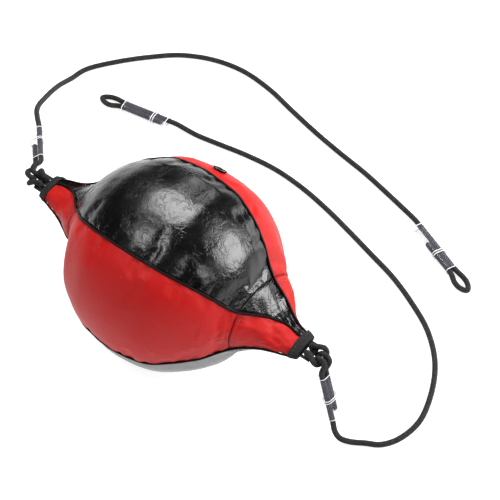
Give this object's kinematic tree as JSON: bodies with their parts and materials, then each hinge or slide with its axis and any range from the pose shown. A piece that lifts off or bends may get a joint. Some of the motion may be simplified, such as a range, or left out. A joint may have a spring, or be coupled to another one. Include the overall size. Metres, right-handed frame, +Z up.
{
  "type": "double-end punching ball",
  "caption": "Leather double-end punching ball with a flat webbing loop at each mouth and an elastic cord hitched to each loop, ending in a sleeved eye.",
  "frame": {"origin": "on the floor under the middle of the ball", "axes": "+X along the ball's long axis to its near end, +Y towards the side where the cords lie, +Z up"},
  "size_m": [0.5768, 0.427, 0.1984],
  "materials": {
    "leather_black": "glossy grained",
    "leather_red": "satin grained",
    "leather_silver": "satin metallic",
    "trim": "satin",
    "webbing": "twill weave",
    "cord": "braided",
    "rubber": "matte",
    "sleeve": "clear",
    "band": "glossy",
    "eyelet": "satin"
  },
  "bodies": {
    "ball": {"panel_black_top": "leather_black", "panel_red_front": "leather_red", "panel_silver_front": "leather_silver", "panel_silver_rear": "leather_silver", "panel_red_back": "leather_red", "neck_near_black_top": "leather_black", "neck_near_red_front": "leather_red", "neck_near_silver_front": "leather_silver", "neck_near_silver_rear": "leather_silver", "neck_near_red_back": "leather_red", "neck_far_black_top": "leather_black", "neck_far_red_front": "leather_red", "neck_far_silver_front": "leather_silver", "neck_far_silver_rear": "leather_silver", "neck_far_red_back": "leather_red", "piping_red_back_black_top": "trim", "piping_black_top_red_front": "trim", "piping_red_front_silver_front": "trim", "piping_silver_front_silver_rear": "trim", "piping_silver_rear_red_back": "trim", "binding_near": "webbing", "binding_far": "webbing", "webbing_loop_near": "webbing", "webbing_loop_far": "webbing", "bladder": "rubber", "valve": "rubber", "valve_eyelet": "eyelet"},
    "near_cord": {"hitch_near": "cord", "cord_near": "cord", "eye_near": "cord", "sleeve_ball_near": "sleeve", "band_ball_near": "band", "sleeve_eye_near": "sleeve", "band_eye_near": "band"},
    "far_cord": {"hitch_far": "cord", "cord_far": "cord", "eye_far": "cord", "sleeve_ball_far": "sleeve", "band_ball_far": "band", "sleeve_eye_far": "sleeve", "band_eye_far": "band"}
  },
  "joints": [
    {"name": "near_hitch_swing", "type": "hinge", "parent": "ball", "child": "near_cord", "pos_m": [0.1701, 0, 0.098], "axis": [0, 0.9848, 0.1736], "range_deg": [0, 45]},
    {"name": "far_hitch_swing", "type": "hinge", "parent": "ball", "child": "far_cord", "pos_m": [-0.1701, 0, 0.098], "axis": [0, -0.9848, -0.1736], "range_deg": [0, 45]}
  ]
}
